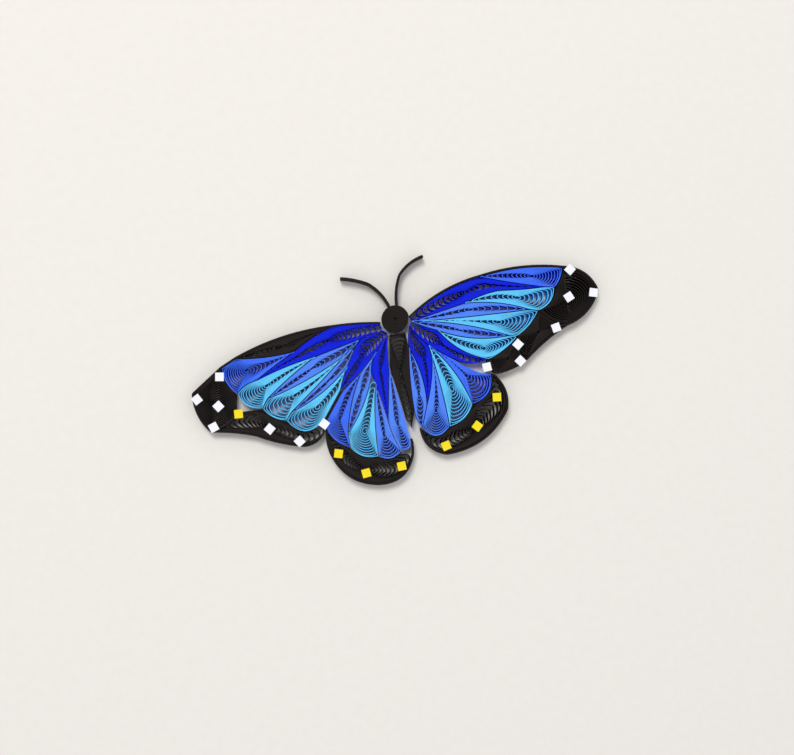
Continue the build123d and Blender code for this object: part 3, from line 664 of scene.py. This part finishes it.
    def line(self) -> np.ndarray:
        """The strip's middle line from its glued outer end to its free inner end.

        The turns lie tight along both flanks, bend back one after the other towards a pointed end,
        part evenly towards a round one, and grow round towards the eye.

        Returns:
            Points in millimetres.
        """
        lap = self.lap()
        rim = self.rim(lap)
        is_round = np.where(lap.near, *(end is End.ROUND for end in self.ends))
        sign = np.where(lap.side == 0, 1.0, -1.0)
        spare = lap.half - EYE_RADIUS - PITCH * self.turns
        inside = [width + PITCH for width in self.widths]
        runs: List[np.ndarray] = []
        for turn in range(self.turns):
            done = turn + lap.phase
            depth = done / self.turns
            half = lap.half - PITCH * done - spare * depth ** LATENESS
            place, across, room = self.bent(lap, depth, half, inside)
            pinched = self.at(place, self.middle) + self.at(place, self.rights) * (across * sign)[:, None]
            swung = self.swung(lap, rim, done, half)
            kept = is_round | (room > LEAST_ROOM) | (turn == 0)
            runs.append(np.where(is_round[:, None], swung, pinched)[kept])
            for index in (0, 1):
                known = kept & (lap.side == index)
                order = np.argsort(place[known])
                inside[index] = np.interp(self.stations, place[known][order], across[known][order],
                                          left=-1.0, right=-1.0)
        return self.eased(np.concatenate(runs))


def ribbon(name: str, lines: Sequence[np.ndarray], thickness: float, seed: int) -> bpy.types.Object:
    """Strips of paper standing on edge along lines.

    Args:
        name: the new object's name.
        lines: the strips' middle lines, in board millimetres.
        thickness: of one strip, in millimetres.
        seed: for the small differences in height along the cut edge.

    Returns:
        One mesh object, its place in its vertices.
    """
    rng = np.random.default_rng(seed)
    bm = bmesh.new()
    for line in lines:
        rights = right_of(line)
        edges = []
        for side in (1, -1):
            moved = line + rights * thickness / 2 * side + np.array(BOARD_TO_FRAME)
            edges.append([bm.verts.new((x * MM, y * MM, 0.0)) for x, y in moved])
        for index in range(len(line) - 1):
            corners = (edges[0][index], edges[0][index + 1], edges[1][index + 1], edges[1][index])
            bm.faces.new(corners)
    raised = bmesh.ops.extrude_face_region(bm, geom=list(bm.faces))
    tops = [item for item in raised["geom"] if isinstance(item, bmesh.types.BMVert)]
    phases = rng.uniform(0, 2 * math.pi, 2)
    for vertex in tops:
        swing = math.sin(vertex.co.x / (RAGGED_WAVES[0] * MM) + phases[0])
        swing += math.sin(vertex.co.y / (RAGGED_WAVES[1] * MM) + phases[1])
        vertex.co.z = (STRIP_WIDTH - RAGGED * (0.5 + 0.25 * swing)) * MM
    bmesh.ops.recalc_face_normals(bm, faces=bm.faces)
    return finished(name, bm)


def finished(name: str, bm: bmesh.types.BMesh) -> bpy.types.Object:
    """The object of a finished mesh, with its flat faces, the strips' cut edges, marked for the painted
    highlight of the paper's top.
    """
    mesh = bpy.data.meshes.new(name)
    bm.to_mesh(mesh)
    bm.free()
    # Painted highlight mask: faces that point up or down take the paper's lighter top colour
    highlight_mask = mesh.attributes.new("painted_edge_highlight", "FLOAT", "FACE")
    highlight_mask.data.foreach_set("value", [1.0 if abs(face.normal.z) > 0.8 else 0.0 for face in mesh.polygons])
    piece = bpy.data.objects.new(name, mesh)
    bpy.context.scene.collection.objects.link(piece)
    return piece


def linear(hexa: str) -> Tuple[float, float, float, float]:
    """A linear colour from an sRGB hex code."""
    values = [int(hexa[index:index + 2], 16) / 255 for index in (1, 3, 5)]
    parts = [value / 12.92 if value <= 0.04045 else ((value + 0.055) / 1.055) ** 2.4 for value in values]
    return (parts[0], parts[1], parts[2], 1.0)


def add(tree: bpy.types.NodeTree, kind: str, **inputs: object) -> bpy.types.Node:
    """A new node of a kind, with values set on its sockets by name."""
    node = tree.nodes.new(kind)
    for name, value in inputs.items():
        node.inputs[name.replace("_", " ")].default_value = value
    return node


@dataclass
class PaperStock:
    """The papers, each made into a material once."""

    made: Dict[Slot, bpy.types.Material] = field(default_factory=dict)

    def material(self, slot: Slot) -> bpy.types.Material:
        """The material of a slot's paper."""
        if slot not in self.made:
            self.made[slot] = self.dye(next(paper for paper in PAPERS if paper.slot is slot))
        return self.made[slot]

    @staticmethod
    def dye(paper: DyedPaper) -> bpy.types.Material:
        """Pulp-dyed paper: matt and fibrous, a little uneven in colour, with a painted highlight on its flat
        top edges and its sides in a deeper colour of painted shade.
        """
        material = bpy.data.materials.new(paper.slot.value)
        material.use_nodes = True
        tree = material.node_tree
        tree.nodes.clear()
        places = add(tree, "ShaderNodeTexCoord")
        clouds = add(tree, "ShaderNodeTexNoise", Scale=1 / (paper.cloud_size * MM), Detail=3.0)
        fibres = add(tree, "ShaderNodeTexNoise", Scale=1 / (paper.fibre_size * MM), Detail=4.0)
        tree.links.new(places.outputs["Object"], clouds.inputs["Vector"])
        tree.links.new(places.outputs["Object"], fibres.inputs["Vector"])
        face = add(tree, "ShaderNodeMix")
        face.data_type = "RGBA"
        face.inputs[6].default_value = linear(paper.fleck)
        face.inputs[7].default_value = linear(paper.face)
        tree.links.new(clouds.outputs["Fac"], face.inputs[0])
        # Painted highlight: faces marked as flat top edges take the lighter top colour instead of the deeper
        # side colour
        edge = add(tree, "ShaderNodeAttribute")
        edge.attribute_name = "painted_edge_highlight"
        whole = add(tree, "ShaderNodeMix")
        whole.data_type = "RGBA"
        whole.inputs[7].default_value = linear(paper.painted_edge_highlight)
        tree.links.new(edge.outputs["Fac"], whole.inputs[0])
        tree.links.new(face.outputs[2], whole.inputs[6])
        relief = add(tree, "ShaderNodeBump", Strength=0.25, Distance=paper.relief_depth * MM)
        tree.links.new(fibres.outputs["Fac"], relief.inputs["Height"])
        sheet = add(tree, "ShaderNodeBsdfPrincipled", Roughness=paper.roughness,
                    Specular_IOR_Level=paper.gloss)
        tree.links.new(whole.outputs[2], sheet.inputs["Base Color"])
        tree.links.new(relief.outputs["Normal"], sheet.inputs["Normal"])
        glow = add(tree, "ShaderNodeBsdfTranslucent")
        tree.links.new(whole.outputs[2], glow.inputs["Color"])
        both = add(tree, "ShaderNodeMixShader", Fac=paper.see_through)
        tree.links.new(sheet.outputs["BSDF"], both.inputs[1])
        tree.links.new(glow.outputs["BSDF"], both.inputs[2])
        output = add(tree, "ShaderNodeOutputMaterial")
        tree.links.new(both.outputs["Shader"], output.inputs["Surface"])
        return material


@dataclass
class Butterfly:
    """All the pieces of paper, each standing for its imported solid."""

    board: PinningBoard
    stock: PaperStock

    def place(self, piece: bpy.types.Object, node: str, slot: Slot) -> None:
        """Gives a piece its paper and ties it to the frame."""
        piece.data.materials.append(self.stock.material(slot))
        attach(piece, "root")
        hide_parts(node)
        log.info("%s: %d faces, %s", piece.name, len(piece.data.polygons), slot.value)

    def coils(self) -> None:
        """Winds every coil of the wings and the body."""
        for seed, (node, plan) in enumerate(COILS.items()):
            outline = self.board.loop(plan.pins.split())
            far_pins = plan.far.split()
            far = self.board.far_end(outline, far_pins)
            ends = (plan.tip, End.ROUND if len(far_pins) > 1 else End.POINTED)
            winding = Winding(outline, far, plan.eye, plan.turns, ends)
            self.place(ribbon(f"paper_{node}", [winding.line()], PAPER, seed), node, plan.slot)

    def head(self) -> Tuple[float, float]:
        """Winds the tight round coil of the head.

        Returns:
            The head's middle on the board, in millimetres.
        """
        low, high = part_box("head_coil")
        middle = (low + high) / 2 / MM
        x, y = middle.x - BOARD_TO_FRAME[0], middle.y - BOARD_TO_FRAME[1]
        angles = np.linspace(0, 2 * math.pi * HEAD_TURNS, HEAD_TURNS * HEAD_STOPS)
        radii = np.linspace(HEAD_RADIUS - PAPER / 2, EYE_RADIUS, len(angles))
        radii -= HEAD_UNEVENNESS * (1 - np.cos(HEAD_UNEVEN_RATE * angles))
        line = np.stack([x + radii * np.cos(angles), y + radii * np.sin(angles)], axis=1)
        self.place(ribbon("paper_head_coil", [line], PAPER, HEAD_SEED), "head_coil", Slot.BLACK)
        return x, y

    def edge_strips(self) -> None:
        """Lays three strips, glued flat together, round the outside of each wing."""
        for seed, (node, pins) in enumerate(EDGE_STRIPS.items()):
            line = self.board.chain(pins.split())
            line = resampled(line, max(60, len(line) * 2))
            rights = right_of(line)
            layer = EDGE_THICKNESS / EDGE_LAYERS
            outwards = [GLUE_GAP / 2 + layer * (index + 0.5) for index in range(EDGE_LAYERS)]
            layers = [line + rights * distance for distance in outwards]
            piece = ribbon(f"paper_{node}", layers, layer * LAYER_SHARE, EDGE_SEED + seed)
            self.place(piece, node, Slot.BLACK)

    def antennae(self, head: Tuple[float, float]) -> None:
        """Stands the antennae's glued layers on edge, from the head's rim outwards."""
        for seed, (node, (angle, halfway, end, bows)) in enumerate(ANTENNAE.items()):
            reach, turn = HEAD_RADIUS + GLUE_GAP, math.radians(angle)
            base = (head[0] + reach * math.cos(turn), head[1] + reach * math.sin(turn))
            stops = [base] + [(base[0] + way[0], base[1] + way[1]) for way in (halfway, end)]
            line = np.concatenate([bowed(stops[0], stops[1], bows[0]), bowed(stops[1], stops[2], bows[1]),
                                   np.array([stops[2]])])
            line = resampled(line, 60)
            layer = ANTENNA_THICKNESS / ANTENNA_LAYERS
            ranks = [index - (ANTENNA_LAYERS - 1) / 2 for index in range(ANTENNA_LAYERS)]
            layers = [line + right_of(line) * layer * rank for rank in ranks]
            piece = ribbon(f"paper_{node}", layers, layer * LAYER_SHARE, ANTENNA_SEED + seed)
            self.place(piece, node, Slot.BLACK)

    def squares(self) -> None:
        """Glues the punched squares on top, each a little curled."""
        for seed, (node, (slot, spots)) in enumerate(SQUARES.items()):
            bm = bmesh.new()
            rng = np.random.default_rng(SQUARE_SEED + seed)
            for x, y, turn in spots:
                self.square(bm, x + BOARD_TO_FRAME[0], y + BOARD_TO_FRAME[1], turn, rng.uniform(-1, 1, 2))
            self.place(finished(f"paper_{node}", bm), node, slot)

    @staticmethod
    def square(bm: bmesh.types.BMesh, x: float, y: float, turn: float, curl: np.ndarray) -> None:
        """Adds one punched square to a mesh."""
        grid = bmesh.ops.create_grid(bm, x_segments=SQUARE_CELLS, y_segments=SQUARE_CELLS,
                                     size=SQUARE_SIDE / 2 * MM)["verts"]
        faces = list({face for vertex in grid for face in vertex.link_faces})
        raised = bmesh.ops.extrude_face_region(bm, geom=faces)["geom"]
        tops = [item for item in raised if isinstance(item, bmesh.types.BMVert)]
        bmesh.ops.translate(bm, verts=tops, vec=(0, 0, SQUARE_THICKNESS * MM))
        cosine, sine = math.cos(math.radians(turn)), math.sin(math.radians(turn))
        for vertex in grid + tops:
            u, v = vertex.co.x / MM, vertex.co.y / MM
            rise = SQUARE_CURL * (u * u * abs(curl[0]) + v * v * abs(curl[1]))
            vertex.co = Vector(((x + u * cosine - v * sine) * MM, (y + u * sine + v * cosine) * MM,
                                vertex.co.z + (STRIP_WIDTH + SQUARE_GLUE + rise) * MM))
        faces = list({face for vertex in grid + tops for face in vertex.link_faces})
        bmesh.ops.recalc_face_normals(bm, faces=faces)

    def build(self) -> None:
        """Makes every piece."""
        self.coils()
        head = self.head()
        self.edge_strips()
        self.antennae(head)
        self.squares()


@dataclass(frozen=True)
class Studio:
    """Floor, light and camera: the camera and the floor's grain in millimetres, the rest in metres."""

    camera_mm: Tuple[float, float, float] = (-13.186, -2.276, 263.125)
    camera_degrees: Tuple[float, float, float] = (0.519, -2.610, -8.333)
    lens: float = 50.0
    floor_hex: str = "#EEE9E0"
    floor_shade: str = "#E8E3DA"
    floor_grain: float = 2.0
    floor_half: float = 2.0
    key_watts: float = 7.7
    key_size: float = 0.44
    key_place: Tuple[float, float, float] = (-0.16, 0.55, 1.08)
    sky_hex: str = "#F2F4FA"
    sky_strength: float = 0.69

    def floor(self) -> None:
        """A plain pale sheet for the butterfly to lie on."""
        bm = bmesh.new()
        bmesh.ops.create_grid(bm, x_segments=1, y_segments=1, size=self.floor_half)
        sheet = finished("floor", bm)
        material = bpy.data.materials.new("pale_laid_sheet")
        material.use_nodes = True
        tree = material.node_tree
        shader = tree.nodes["Principled BSDF"]
        shader.inputs["Roughness"].default_value = 0.9
        shader.inputs["Specular IOR Level"].default_value = 0.1
        places = add(tree, "ShaderNodeTexCoord")
        grain = add(tree, "ShaderNodeTexNoise", Scale=1 / (self.floor_grain * MM), Detail=4.0)
        tree.links.new(places.outputs["Object"], grain.inputs["Vector"])
        colour = add(tree, "ShaderNodeMix")
        colour.data_type = "RGBA"
        colour.inputs[6].default_value = linear(self.floor_shade)
        colour.inputs[7].default_value = linear(self.floor_hex)
        tree.links.new(grain.outputs["Fac"], colour.inputs[0])
        tree.links.new(colour.outputs[2], shader.inputs["Base Color"])
        sheet.data.materials.append(material)

    def light(self) -> None:
        """One soft light from the picture's upper left and an even pale surround."""
        lamp = bpy.data.lights.new("soft_key", "AREA")
        lamp.energy = self.key_watts
        lamp.shape = "DISK"
        lamp.size = self.key_size
        key = bpy.data.objects.new("soft_key", lamp)
        key.location = Vector(self.key_place)
        key.rotation_euler = (-key.location).to_track_quat("-Z", "Y").to_euler()
        bpy.context.scene.collection.objects.link(key)
        world = bpy.data.worlds.new("surround")
        world.use_nodes = True
        sky = world.node_tree.nodes["Background"]
        sky.inputs["Color"].default_value = linear(self.sky_hex)
        sky.inputs["Strength"].default_value = self.sky_strength
        bpy.context.scene.world = world

    def camera(self) -> None:
        """The camera where the photograph's perspective puts it, almost straight above."""
        data = bpy.data.cameras.new("camera")
        data.lens = self.lens
        data.sensor_width = 36.0
        data.clip_start = 0.01
        data.clip_end = 10.0
        seat = bpy.data.objects.new("camera", data)
        seat.location = Vector(self.camera_mm) * MM
        seat.rotation_euler = tuple(math.radians(angle) for angle in self.camera_degrees)
        bpy.context.scene.collection.objects.link(seat)
        bpy.context.scene.camera = seat

    def build(self) -> None:
        """Sets up everything round the butterfly."""
        self.floor()
        self.light()
        self.camera()
        bpy.context.scene.view_settings.view_transform = "Standard"


def main() -> None:
    """Builds the butterfly in its frame."""
    for item in list(bpy.data.objects):
        bpy.data.objects.remove(item)
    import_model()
    Butterfly(PinningBoard(PINS, BULGES), PaperStock()).build()
    Studio().build()


if __name__ == "__main__":
    main()
